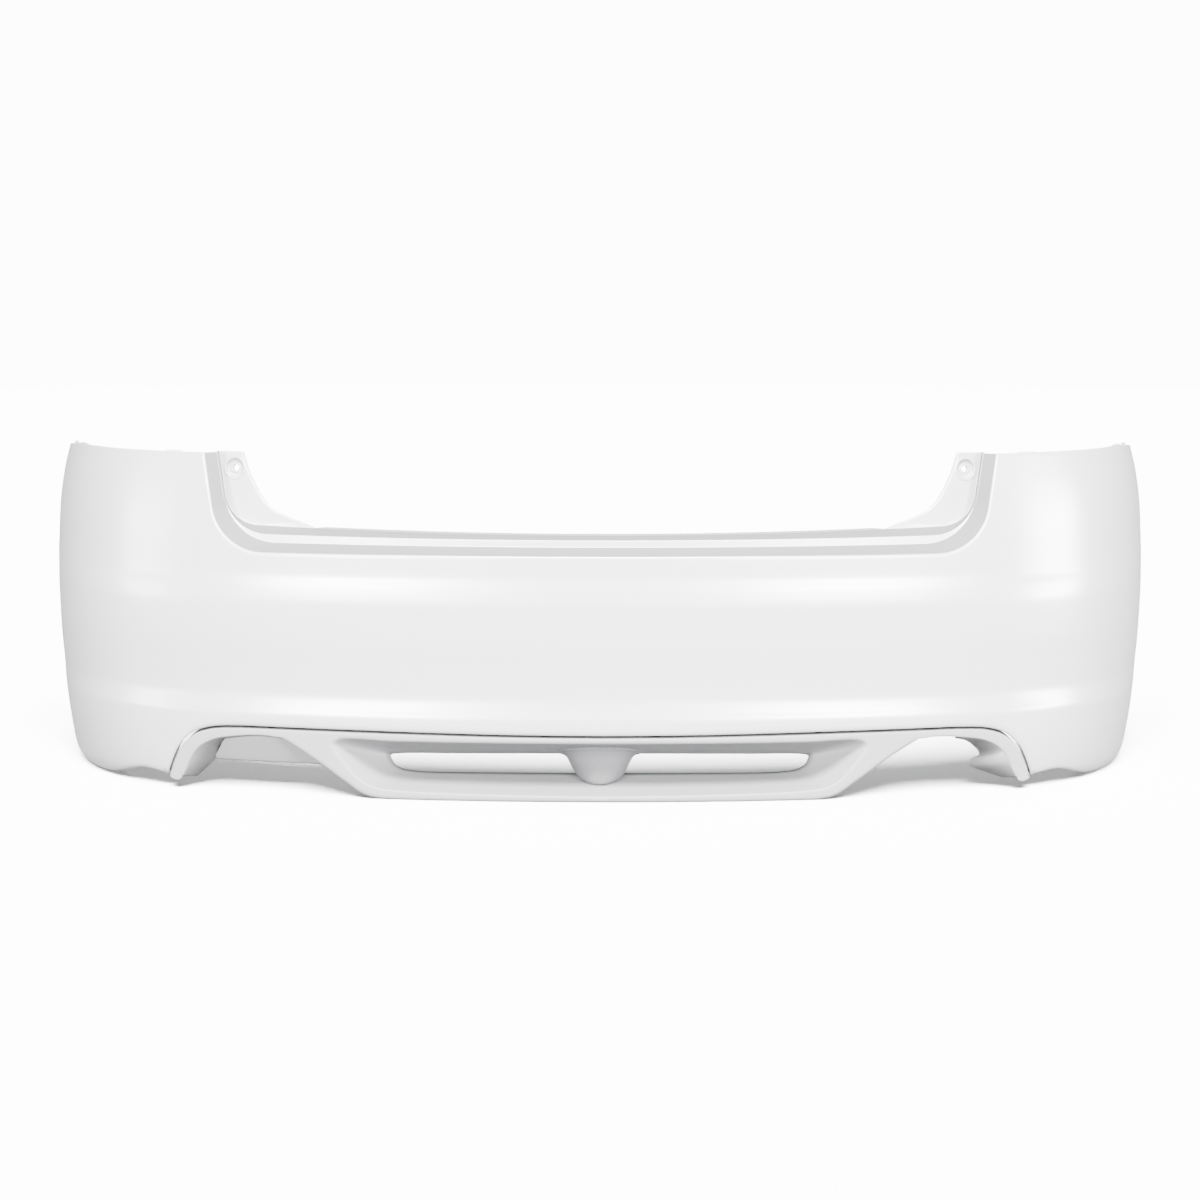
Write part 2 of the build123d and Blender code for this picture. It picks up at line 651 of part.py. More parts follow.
with BuildPart() as lower_valance:
    with BuildSketch(Plane.XZ):
        with BuildLine():
            curve = Spline(*beside(seam, -SEAM_GAP / 2))
            right = [(634, 13), *reversed(CUTOUT_RIM), (516, 86.5), *ARM_OUTER]
            Polyline(curve @ 1, *right, *[(-x, z) for x, z in reversed(right[:-1])], curve @ 0)
        make_face()
    extrude(amount=DEPTH, both=True)
    add(lower_slab(0, WALL), mode=Mode.INTERSECT)
    add([valance_ledge.part, arm_return.part, mouth_walls.part])
    add(funnel(0, REAR + SLOT_DEPTH + WALL), mode=Mode.SUBTRACT)
    add(cutout_wall(CUTOUT_BACK_RIGHT, 1))
    add(cutout_wall(CUTOUT_BACK_LEFT, -1))
    for x in RIVET_STATIONS.values():
        with BuildSketch(ledge_plane(x, -2.5)):
            Circle(2 * RIVET_HOLE)
        extrude(amount=SEAM_GAP + 0.5)
    with BuildSketch(Plane.XY.offset(SEAM_MIDDLE - 8)):
        for x in [*SCREW_STATIONS, *RIVET_STATIONS.values()]:
            with Locations((x, skin_y(x, 90) + FASTENER_INSET)):
                Circle(RIVET_HOLE)
    extrude(amount=20, mode=Mode.SUBTRACT)
    with BuildSketch(fin_screw_plane(1).offset(-6), fin_screw_plane(-1).offset(-6)):
        Circle(SCREW_RADIUS + 0.4)
    extrude(amount=12, mode=Mode.SUBTRACT)
lower_valance.part.label = "lower_valance"

# Panel that closes the left exhaust cut-out: a level flange under the ledge and a sloping face
with BuildPart() as left_cutout_blank:
    add(ribbon([blank_row(-530, -566), blank_row(-505, -490), blank_row(-480, -406)]))
    with BuildSketch(Plane.XY.offset(BLANK_TOP - WALL)):
        with BuildLine():
            row = [(x, skin_y(x, 90)) for x in (-530, -505, -480)]
            rear_edge = Spline(*[(x, y + BLANK_INSET) for x, y in row])
            front_edge = Spline(*[(x, y + LEDGE_REACH) for x, y in row])
            Line(rear_edge @ 0, front_edge @ 0)
            Line(rear_edge @ 1, front_edge @ 1)
        make_face()
    extrude(amount=WALL)
    with BuildSketch(Plane.XY.offset(BLANK_TOP - 2 * WALL)):
        for x in BLANK_SCREWS:
            with Locations((x, skin_y(x, 90) + FASTENER_INSET)):
                Circle(SCREW_RADIUS + 0.6)
    extrude(amount=3 * WALL, mode=Mode.SUBTRACT)
left_cutout_blank.part.label = "left_cutout_blank"

# Centre fin: a hollow rounded prow between the roof and the floor of the mouth
with BuildPart() as centre_fin:
    loft(sections=[fin_section(z, 0) for z in (2, 90)], ruled=True)
    loft(sections=[fin_section(z, WALL) for z in (2, 90)], ruled=True, mode=Mode.SUBTRACT)
    with BuildSketch(Plane.YZ):
        with BuildLine():
            Polyline(*fin_side_view(0), close=True)
        make_face()
    extrude(amount=FIN_SPAN, both=True, mode=Mode.INTERSECT)
    with BuildSketch(Plane.YZ):
        with BuildLine():
            Polyline(*fin_side_view(0)[:2], *reversed(fin_side_view(WALL)[:2]), close=True)
        make_face()
    extrude(amount=FIN_SPAN, both=True)
    loft(sections=[fin_section(z, 0) for z in (2, 90)], ruled=True, mode=Mode.INTERSECT)
    with BuildSketch(fin_screw_plane(1).offset(-4.5), fin_screw_plane(-1).offset(-4.5)):
        Circle(FIN_BOSS_RADIUS)
    extrude(amount=-FIN_BOSS_LENGTH)
    with BuildSketch(fin_screw_plane(1), fin_screw_plane(-1)):
        Circle(SCREW_RADIUS + 0.1)
    extrude(amount=-FIN_BOSS_LENGTH, mode=Mode.SUBTRACT)
centre_fin.part.label = "centre_fin"

# Fasteners of the seam ledge: screws into spring nuts, and push rivets with a sliding pin
screws = [pan_screw(ledge_plane(x, SEAM_GAP / 2 + WALL + 0.2), 17) for x in SCREW_STATIONS]
nuts = []
for x in SCREW_STATIONS:
    blank_grip = seam_height(x) - SEAM_GAP / 2 - BLANK_TOP + WALL
    grip = blank_grip if x in BLANK_SCREWS else WALL
    nuts.append(u_nut(ledge_plane(x, -SEAM_GAP / 2), grip, LEDGE_REACH - FASTENER_INSET))
rivets = [rivet_body(ledge_plane(x, SEAM_GAP / 2 + WALL + 0.2)) for x in RIVET_STATIONS.values()]

with BuildPart() as valance_screws:
    add(screws)
valance_screws.part.label = "valance_screws"

with BuildPart() as valance_spring_nuts:
    add(nuts)
valance_spring_nuts.part.label = "valance_spring_nuts"

with BuildPart() as push_rivet_bodies:
    add(rivets)
push_rivet_bodies.part.label = "push_rivet_bodies"

pins = []
for place, x in RIVET_STATIONS.items():
    pin = rivet_pin(ledge_plane(x, SEAM_GAP / 2 + WALL + 0.2))
    pin.label = "push_rivet_pin_" + place
    pins.append(pin)

fin_pair = [pan_screw(fin_screw_plane(side), 13) for side in (-1, 1)]
with BuildPart() as fin_screws:
    add(fin_pair)
fin_screws.part.label = "fin_screws"

# Side retainers behind the top edge of each wing, and the screws that hold them
retainer_layer = shell(WALL + FIT_GAP, 2 * WALL + FIT_GAP, lowest=450.0)
wing_pieces = []
for name, side in (("left", -1), ("right", 1)):
    with BuildPart() as side_retainer:
        with BuildSketch(Plane.XZ):
            with BuildLine():
                Polyline(*retainer_outline(side), close=True)
            make_face()
        extrude(amount=DEPTH, both=True)
        add(retainer_layer, mode=Mode.INTERSECT)
        for x in RETAINER_BOSSES:
            with BuildSketch(surface_plane(side * x, RETAINER_BOSS_Z, 0)):
                Circle(RETAINER_BOSS_RADIUS + FIT_GAP)
            extrude(amount=-15, mode=Mode.SUBTRACT)
    side_retainer.part.label = "side_retainer_" + name
    heads = []
    for x in RETAINER_BOSSES:
        seat = surface_plane(side * x, RETAINER_BOSS_Z, 2 * WALL + FIT_GAP + 0.5)
        heads.append(pan_screw(Plane(seat.origin, x_dir=seat.x_dir, z_dir=seat.z_dir * -1), 3.4))
    with BuildPart() as retainer_screws:
        add(heads)
    retainer_screws.part.label = "retainer_screws_" + name
    clips = [u_nut(arch_plane(side, angle), WALL, ARCH_NUT_REACH) for angle in ARCH_NUT_ANGLES]
    with BuildPart() as arch_spring_nuts:
        add(clips)
    arch_spring_nuts.part.label = "arch_spring_nuts_" + name
    wing_pieces += [side_retainer.part, retainer_screws.part, arch_spring_nuts.part]

pieces = [
    main_cover.part, lower_valance.part, left_cutout_blank.part, centre_fin.part,
    valance_screws.part, valance_spring_nuts.part, push_rivet_bodies.part, fin_screws.part,
    *pins, *wing_pieces,
]
os.makedirs("parts", exist_ok=True)
for piece in pieces:
    export_step(piece, "parts/" + piece.label + ".step")
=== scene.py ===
import json
import math
import bmesh
import bpy
import numpy as np
from mathutils import Matrix, Vector
from mathutils.geometry import delaunay_2d_cdt

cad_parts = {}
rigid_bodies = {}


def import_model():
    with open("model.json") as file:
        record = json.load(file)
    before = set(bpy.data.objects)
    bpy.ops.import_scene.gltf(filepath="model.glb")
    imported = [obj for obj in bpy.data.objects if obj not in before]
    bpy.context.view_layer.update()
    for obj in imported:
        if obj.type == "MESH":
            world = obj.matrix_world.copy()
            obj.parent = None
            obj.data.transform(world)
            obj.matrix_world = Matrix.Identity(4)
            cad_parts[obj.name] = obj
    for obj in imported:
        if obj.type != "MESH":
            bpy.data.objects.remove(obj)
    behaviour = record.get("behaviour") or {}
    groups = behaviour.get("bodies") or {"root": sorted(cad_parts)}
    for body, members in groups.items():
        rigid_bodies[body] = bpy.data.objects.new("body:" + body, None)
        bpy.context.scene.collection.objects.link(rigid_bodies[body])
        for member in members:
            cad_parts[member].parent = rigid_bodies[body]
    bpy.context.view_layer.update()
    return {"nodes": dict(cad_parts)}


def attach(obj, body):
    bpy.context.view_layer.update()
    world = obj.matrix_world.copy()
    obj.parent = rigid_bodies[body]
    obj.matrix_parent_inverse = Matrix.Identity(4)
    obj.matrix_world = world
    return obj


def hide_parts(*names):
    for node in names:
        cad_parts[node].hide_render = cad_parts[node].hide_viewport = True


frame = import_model()

# Millimetres from here on; a mesh is scaled to metres as it is made.
HALF_WIDTH = 875.0
DEPTH = 620.0
REAR = -DEPTH / 2
WALL = 3.0
BOW = 165.0
CORNER_POWER = 7.5
WING_POWER = 2.6
TOP = 503.0
# Top edge of a wing: (y, height)
TOP_LINE = np.array([(REAR + 300, 503), (REAR + 420, 495), (REAR + 625, 466)], float)
WHEEL_Y = REAR + 880
WHEEL_Z = 90.0
ARCH_RADIUS = 350.0
RETURN_REACH = 25.0
LEDGE_REACH = 45.0
ARM_RETURN = 40.0
SLOT_DEPTH = 110.0
CUTOUT_DEPTH = 46.0
SEAM_HALF_GAP = 1.9
SIDE_LEAN = 0.15
TIP_RETURN = 12.0
# Loss of half width that the lower rear face keeps at every height
FACE_LOSS = 11.47
DRAWN_WALL = 2.8
THIN_WALL = 2.6

# Level, loss of half width and setback of the skin
LEVELS = np.array([
    (0, 34, 22), (9, 27, 11), (22, 22, 4.5), (45, 18, 1), (85, 12, 0), (118, 8.5, 0),
    (134, 7.2, 3.5), (153, 5.8, 6.5), (190, 3, 5), (235, 1, 2), (283, 0, 1), (308, 0, 3.5),
    (328, 0, 7), (345, 1, 7.8), (400, 4, 10), (450, 11, 12), (512, 26.5, 14.5),
], float)

# Recess contours: bottom at the middle, rise, corner radius, half width at the top, depth
RECESS_RIM = (359.0, 0.0, 76.0, 583.0, 0.0)
LEDGE_INNER = (371.0, 1.0, 78.0, 563.0, 20.0)
LEDGE_OUTER = (381.0, 3.0, 66.0, 563.5, 20.0)
SILL_EDGE = (386.0, 9.0, 52.0, 566.0, 42.0)
TAB_EDGE = [(424, 395), (486, 422), (515, 466), (528, 503)]
TAB_BOSS = (541.0, 479.0)
# Radius and height of the tab's dish and bore, and of the posts for the retainer screws
DISH_PROFILE = [
    (18.4, -1.6), (18.0, 0.5), (17.2, 0.9), (14.9, 0.9), (13.9, 0.5), (13.3, -0.6), (13.0, -4.2),
    (12.5, -4.8), (11.5, -5.0), (8.4, -5.0), (7.9, -4.9), (7.6, -4.2), (7.1, -4.0), (5.5, -4.0),
    (4.95, -4.2), (4.75, -4.8), (4.75, -9.0),
]
DISH_CLEAR = 14.2
DISH_FLAT = 19.0
POST_PROFILE = [(6.2, 0.2), (5.2, 1.2), (5.0, 4.2), (4.8, 4.4), (2.1, 4.4), (2.1, 0.5)]
POST_PLACES = (640, 690, 740)
POST_Z = 486.0
# Outlines on the right-hand half: (distance from the middle, height)
SEAM_RUN = [(535, 99.5), (575, 96), (603, 86), (625, 65), (637, 41), (645, 18)]
BOTTOM_LINE = [(665, 22), (690, 24), (712, 19), (735, 9.5), (755, 2.5), (780, 0)]
MOUTH_RIM = [(0, 87), (150, 87), (300, 87), (384, 87), (392, 80), (381, 62), (366, 43),
             (351, 28), (332, 18.5), (292, 14), (150, 10.5), (0, 9)]
SLOT_RIM = [(0, 53), (110, 53), (215, 53), (300, 53), (311, 51), (310, 44), (304, 36),
            (292, 30), (272, 27), (240, 25.5), (120, 24.5), (0, 24)]
ARM_OUTER = [(0, 0), (292, 0), (320, 0.6), (346, 6), (374, 24), (414, 52), (442, 70), (470, 86)]
CUTOUT_ROOF = [(470, 86), (490, 88.6), (516, 88.2), (545, 85)]
CUTOUT_RIM = [(545, 85), (567, 81), (586, 73), (598, 64), (606, 54), (611, 45), (616, 33), (622, 20)]
CUTOUT_BACK_LEFT = [(530, 77), (548, 72), (561, 62), (568, 53), (574, 45), (580, 37), (590, 27), (605, 13)]
CUTOUT_BACK_RIGHT = [(530, 77), (548, 72), (561, 62), (569, 51), (555, 44), (555, 34), (577, 24), (605, 13)]
TIP_LINE = [(624.5, 15.5), (630, 13.2), (636, 13.6)]
# How far the mouth's edge rolls over, at its floor and at its roof
MOUTH_ROLL = (2.6, 4.6)
# Half width and front of the fin's foot, and how fast it widens upwards
FIN_HALF = 36.0
FIN_NOSE = 46.0
FIN_SPREAD = 0.52
# Shares of the fin's height where the foot's tuck ends and the top's flare begins; their sizes
TUCK_TO = 0.16
FLARE_FROM = 0.72
TUCK = 5.0
FLARE = 9.0
# Left cut-out panel: x along its top and bottom edges, and their heights and depths
BLANK_TOP_X = (-548.0, -480.0)
BLANK_LOW_X = (-578.0, -490.0, -406.0)
BLANK_TOP_Z = 94.3
BLANK_LOW_Z = 43.5
BLANK_TOP_DEPTH = 8.0
BLANK_LOW_DEPTH = 50.0


# ---------------------------------------------------------------- curves and the skin

def monotone(xs, ys):
    """Smooth curve through points that doesn't overshoot them, as a function of x."""
    h = np.diff(xs)
    d = np.diff(ys) / h
    m = np.concatenate([[d[0]], np.zeros(len(xs) - 2), [d[-1]]])
    for k in range(1, len(xs) - 1):
        if d[k - 1] * d[k] > 0:
            a, b = 2 * h[k] + h[k - 1], h[k] + 2 * h[k - 1]
            m[k] = (a + b) / (a / d[k - 1] + b / d[k])

    def value(x):
        x = np.clip(x, xs[0], xs[-1])
        k = np.clip(np.searchsorted(xs, x) - 1, 0, len(xs) - 2)
        t = (x - xs[k]) / h[k]
        return (ys[k] * (1 + 2 * t) * (1 - t) ** 2 + m[k] * h[k] * t * (1 - t) ** 2
                + ys[k + 1] * t * t * (3 - 2 * t) + m[k + 1] * h[k] * t * t * (t - 1))
    return value


loss_at = monotone(LEVELS[:, 0], LEVELS[:, 1])
setback_at = monotone(LEVELS[:, 0], LEVELS[:, 2])

# One half of the plan, along its length: share of the half width, and how far it has turned
FINE_FROM = 0.88
fine_angle = math.asin(FINE_FROM ** (CORNER_POWER / 2))
SHARE = np.concatenate([
    np.linspace(0, FINE_FROM, 700)[:-1],
    np.sin(np.linspace(fine_angle, math.pi / 2, 900)) ** (2 / CORNER_POWER),
])
SHARE[-1] = 1.0
TURN = 1 - np.clip(1 - SHARE ** CORNER_POWER, 0, 1) ** (1 / WING_POWER)
plan_x = HALF_WIDTH * SHARE
plan_y = BOW * SHARE ** 2 + (DEPTH - BOW) * TURN
ARC = np.concatenate([[0], np.cumsum(np.hypot(np.diff(plan_x), np.diff(plan_y)))])


def skin(u, z):
    """Points of the outer skin at length u along the plan and height z."""
    u, z = np.broadcast_arrays(np.asarray(u, float), np.asarray(z, float))
    share = np.interp(np.abs(u), ARC, SHARE)
    turn = np.interp(np.abs(u), ARC, TURN)
    loss, back = loss_at(z), setback_at(z)
    x = np.sign(u) * share * (HALF_WIDTH - loss)
    y = REAR + back + BOW * share ** 2 + (DEPTH - BOW - back) * turn
    return np.stack([x, y, z], -1)


def inward(u, z):
    """Level unit vector square to the plan, into the cover."""
    d = skin(u + 0.5, z) - skin(u - 0.5, z)
    n = np.stack([-d[..., 1], d[..., 0], 0 * d[..., 0]], -1)
    return n / np.linalg.norm(n, axis=-1, keepdims=True)


def normal(u, z):
    """Unit vector square to the skin, out of the cover."""
    n = np.cross(skin(u + 0.5, z) - skin(u - 0.5, z), skin(u, z + 0.5) - skin(u, z - 0.5))
    return n / np.linalg.norm(n, axis=-1, keepdims=True)


def along(x, z):
    """Length along the plan at a place given by x and z."""
    x, z = np.asarray(x, float), np.asarray(z, float)
    return np.sign(x) * np.interp(np.abs(x) / (HALF_WIDTH - loss_at(z)), SHARE, ARC)


def along_y(y, z):
    """Length along the right half of the plan where the skin is at y, at height z."""
    back = setback_at(z)
    row = REAR + back + BOW * SHARE ** 2 + (DEPTH - BOW - back) * TURN
    return float(np.interp(y, row, ARC))


def face_y(x):
    """Y of the lower rear face, which the valance follows."""
    share = np.abs(x) / (HALF_WIDTH - FACE_LOSS)
    turn = 1 - (1 - share ** CORNER_POWER) ** (1 / WING_POWER)
    return REAR + BOW * share ** 2 + (DEPTH - BOW) * turn


def face(points, depth=0.0):
    """Points of the lower rear face from (x, height), moved in by depth."""
    points = np.asarray(points, float)
    return np.stack([points[:, 0], face_y(points[:, 0]) + depth, points[:, 1]], -1)


def curve(points, step):
    """Smooth curve through points, in pieces about step long."""
    p = np.asarray(points, float)
    knots = np.concatenate([[0], np.cumsum(np.linalg.norm(np.diff(p, axis=0), axis=1) ** 0.5)])
    ends = np.concatenate([[2 * p[0] - p[1]], p, [2 * p[-1] - p[-2]]])
    times = np.concatenate([[-knots[1]], knots, [2 * knots[-1] - knots[-2]]])
    out = []
    for k in range(1, len(p)):
        p0, p1, p2, p3 = ends[k - 1:k + 3]
        t0, t1, t2, t3 = times[k - 1:k + 3]
        m1 = (t2 - t1) * ((p1 - p0) / (t1 - t0) - (p2 - p0) / (t2 - t0) + (p2 - p1) / (t2 - t1))
        m2 = (t2 - t1) * ((p2 - p1) / (t2 - t1) - (p3 - p1) / (t3 - t1) + (p3 - p2) / (t3 - t2))
        n = max(2, int(round(np.linalg.norm(p2 - p1) / step)))
        for t in np.arange(n) / n:
            out.append((2 * t ** 3 - 3 * t * t + 1) * p1 + (t ** 3 - 2 * t * t + t) * m1
                       + (3 * t * t - 2 * t ** 3) * p2 + (t ** 3 - t * t) * m2)
    out.append(p[-1])
    return np.array(out)


def travelled(points):
    """Distance along a row at each of its points."""
    return np.concatenate([[0], np.cumsum(np.linalg.norm(np.diff(points, axis=0), axis=1))])


def spread(points, count):
    """Row resampled to count points, evenly along its length."""
    p = np.asarray(points, float)
    run = travelled(p)
    at = np.linspace(0, run[-1], count)
    return np.stack([np.interp(at, run, p[:, k]) for k in range(p.shape[1])], -1)


def beside(points, distance):
    """Row moved to the left of the way it runs."""
    p = np.asarray(points, float)
    t = np.gradient(p, axis=0)
    t /= np.linalg.norm(t, axis=1, keepdims=True)
    return p + distance * np.stack([-t[:, 1], t[:, 0]], -1)


def seam_row(offset, step=6.0):
    """Right-hand half of the seam, offset upwards, from the middle to its lower end."""
    level = [(x, 96 + 4 * math.sin(math.pi / 2 * x / 480) ** 2) for x in (0, 120, 240, 360, 480)]
    return beside(curve(level + SEAM_RUN, step), offset)


def recess_point(contour, station):
    """Point of a recess contour: station 0-1 along the bottom, 1-2 round the corner, 2-3 up."""
    bottom, rise, radius, top_half, depth = contour
    lean = math.atan2(SIDE_LEAN, 1)
    floor = bottom + rise
    cz = floor + radius
    cx = top_half - SIDE_LEAN * (TOP - cz) - radius / math.cos(lean)
    if station <= 1:
        return station * cx, bottom + rise * station ** 2
    if station <= 2:
        turn = (station - 1) * (math.pi / 2 - lean)
        return cx + radius * math.sin(turn), cz - radius * math.cos(turn)
    start = cz - radius * math.sin(lean)
    z = start + (station - 2) * (TOP - start)
    return top_half - SIDE_LEAN * (TOP - z), z


# ---------------------------------------------------------------- meshes

class Sheet:
    """Faces gathered for one mesh, in millimetres."""

    def __init__(self):
        self.points = []
        self.faces = []
        self.paint = []
        self.count = 0

    def put(self, points, faces, paint=0):
        points = np.asarray(points, float).reshape(-1, 3)
        self.points.append(points)
        self.faces += [tuple(int(i) + self.count for i in f) for f in faces]
        self.paint += [paint] * len(faces) if isinstance(paint, int) else list(paint)
        self.count += len(points)

    def strip(self, rows, closed=False, paints=None):
        """Grid through rows of equal length; paints has a material for each band of it."""
        rows = [np.asarray(r, float) for r in rows]
        n = len(rows[0])
        faces, paint = [], []
        for k in range(len(rows) - 1):
            for i in range(n if closed else n - 1):
                j = (i + 1) % n
                faces.append((k * n + j, k * n + i, (k + 1) * n + i, (k + 1) * n + j))
                paint.append(paints[k] if paints else 0)
        self.put(np.concatenate(rows), faces, paint)

    def build(self, name, *finishes, body="cover", thickness=0.0, merge=0.02, sharp=40.0):
        mesh = bpy.data.meshes.new(name)
        mesh.from_pydata((np.concatenate(self.points) * 0.001).tolist(), [], self.faces)
        for finish in finishes:
            mesh.materials.append(finish)
        mesh.polygons.foreach_set("material_index", self.paint)
        work = bmesh.new()
        work.from_mesh(mesh)
        bmesh.ops.remove_doubles(work, verts=work.verts, dist=merge * 0.001)
        bmesh.ops.dissolve_degenerate(work, edges=work.edges, dist=1e-6)
        for f in work.faces:
            f.smooth = True
        work.to_mesh(mesh)
        work.free()
        obj = bpy.data.objects.new(name, mesh)
        bpy.context.scene.collection.objects.link(obj)
        if thickness:
            solid = obj.modifiers.new("wall", "SOLIDIFY")
            solid.thickness = thickness * 0.001
            solid.offset = -1.0
            solid.use_rim = True
        mesh.set_sharp_from_angle(angle=math.radians(sharp))
        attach(obj, body)
        return obj


def filleted(stack, cuts=(), steps=5, first=1.0):
    """Rows across a bent section, rounded at each corner. The first rounding starts where the
    section does, and goes past its corner by up to first times that distance. The later ones
    start and end up to a cut away from theirs."""
    rows = [stack[0]]
    for k in range(1, len(stack) - 1):
        before, after = stack[k - 1] - stack[k], stack[k + 1] - stack[k]
        way_in = np.maximum(np.linalg.norm(before, axis=-1, keepdims=True), 1e-6)
        way_out = np.maximum(np.linalg.norm(after, axis=-1, keepdims=True), 1e-6)
        if k == 1:
            cut_in = way_in
            cut_out = np.minimum(way_in * first, 0.7 * way_out)
        else:
            cut_in = cut_out = np.minimum(cuts[k - 2], 0.45 * np.minimum(way_in, way_out))
        a = stack[k] + before / way_in * cut_in
        b = stack[k] + after / way_out * cut_out
        for t in np.linspace(0, 1, steps + 1)[1 if k == 1 else 0:]:
            rows.append((1 - t) ** 2 * a + 2 * t * (1 - t) * stack[k] + t * t * b)
    rows.append(stack[-1])
    return rows


def divided(rows, count):
    """The same rows, with the last band cut into count bands."""
    before, last = rows[-2:]
    return rows[:-1] + [before + (last - before) * t for t in np.linspace(0, 1, count + 1)[1:]]


def crossing(a, b):
    """Where the end of row a crosses the start of row b: (index in a, index in b, point)."""
    for i in range(len(a) - 2, max(-1, len(a) - 16), -1):
        for j in range(0, min(len(b) - 1, 15)):
            p, r = a[i], a[i + 1] - a[i]
            q, s = b[j], b[j + 1] - b[j]
            d = r[0] * s[1] - r[1] * s[0]
            if abs(d) < 1e-9:
                continue
            t = ((q - p)[0] * s[1] - (q - p)[1] * s[0]) / d
            v = ((q - p)[0] * r[1] - (q - p)[1] * r[0]) / d
            if 0 <= t <= 1 and 0 <= v <= 1:
                return i, j, p + t * r
    return None


def inset_loop(edges, radii):
    """Rows moved into the region on their left, and joined up end to end all the way round."""
    rows = [beside(e, r) for e, r in zip(edges, radii)]
    for k in range(len(rows)):
        a, b = rows[k], rows[(k + 1) % len(rows)]
        found = crossing(a, b)
        if found:
            i, j, point = found
            a[i + 1:] = point
            b[:j + 1] = point
            continue
        r, s = a[-1] - a[-2], b[1] - b[0]
        d = r[0] * s[1] - r[1] * s[0]
        if abs(d) < 0.12 * np.linalg.norm(r) * np.linalg.norm(s):
            point = (a[-1] + b[0]) / 2
        else:
            q = b[0] - a[-1]
            point = a[-1] + (q[0] * s[1] - q[1] * s[0]) / d * r
        a[-1] = point
        b[0] = point
    return rows


def inside(points, ring):
    """Which points are inside a closed ring, and how far each is from it."""
    hit = np.zeros(len(points), bool)
    far = np.full(len(points), 1e9)
    a = ring
    b = np.roll(ring, -1, axis=0)
    d = b - a
    size = np.maximum((d ** 2).sum(1), 1e-12)
    for start in range(0, len(points), 4000):
        p = points[start:start + 4000]
        py = p[:, 1:2]
        cross = (a[:, 1] > py) != (b[:, 1] > py)
        dy = np.where(np.abs(d[:, 1]) < 1e-12, 1e-12, d[:, 1])
        at = a[:, 0] + (py - a[:, 1]) * d[:, 0] / dy
        hit[start:start + 4000] = (cross & (p[:, 0:1] < at)).sum(1) % 2 == 1
        rel = p[:, None, :] - a[None]
        t = np.clip((rel * d).sum(2) / size, 0, 1)
        gap = rel - t[..., None] * d
        far[start:start + 4000] = np.sqrt((gap ** 2).sum(2)).min(1)
    return hit, far


def fill(ring, pitch, holes=()):
    """Triangles over a region, with lattice points inside it: (2-D points, faces)."""
    rings = []
    for r in (ring, *holes):
        keep = np.linalg.norm(r - np.roll(r, 1, axis=0), axis=1) > 1e-4
        rings.append(r[keep])
    low, high = rings[0].min(0), rings[0].max(0)
    us = np.arange(np.ceil(low[0] / pitch[0]), np.floor(high[0] / pitch[0]) + 1) * pitch[0]
    vs = np.arange(np.ceil(low[1] / pitch[1]), np.floor(high[1] / pitch[1]) + 1) * pitch[1]
    grid = np.stack(np.meshgrid(us, vs), -1).reshape(-1, 2)
    ok, far = inside(grid, rings[0])
    ok &= far > 0.5 * min(pitch)
    for r in rings[1:]:
        hit, far = inside(grid, r)
        ok &= ~hit & (far > 0.5 * min(pitch))
    points = np.concatenate([*rings, grid[ok]])
    edges, base = [], 0
    for r in rings:
        n = len(r)
        edges += [(base + i, base + (i + 1) % n) for i in range(n)]
        base += n
    out = delaunay_2d_cdt([Vector(p) for p in points], edges, [], 0, 1e-6)
    pts = np.array([tuple(v) for v in out[0]])
    tris = np.array([f for f in out[2] if len(f) == 3])
    mid = pts[tris].mean(1)
    ok, _ = inside(mid, rings[0])
    for r in rings[1:]:
        ok &= ~inside(mid, r)[0]
    tris = tris[ok]
    a, b, c = pts[tris[:, 0]], pts[tris[:, 1]], pts[tris[:, 2]]
    area = (b - a)[:, 0] * (c - a)[:, 1] - (b - a)[:, 1] * (c - a)[:, 0]
    tris[area < 0] = tris[area < 0][:, ::-1]
    return pts, tris[np.abs(area) > 1e-7]


def mirrored(row):
    """Left-hand twin of a right-hand row, running on in the same sense round the region."""
    twin = np.array(row, float)[::-1].copy()
    twin[:, 0] *= -1
    return twin


def both_sides(right, radii):
    """Right-hand edges and their left-hand twins, the rows inset from them, and the ring of these."""
    edges = right + [mirrored(e) for e in reversed(right)]
    rows = inset_loop(edges, radii + radii[::-1])
    return edges, rows, np.concatenate([r[:-1] for r in rows])


# ---------------------------------------------------------------- materials

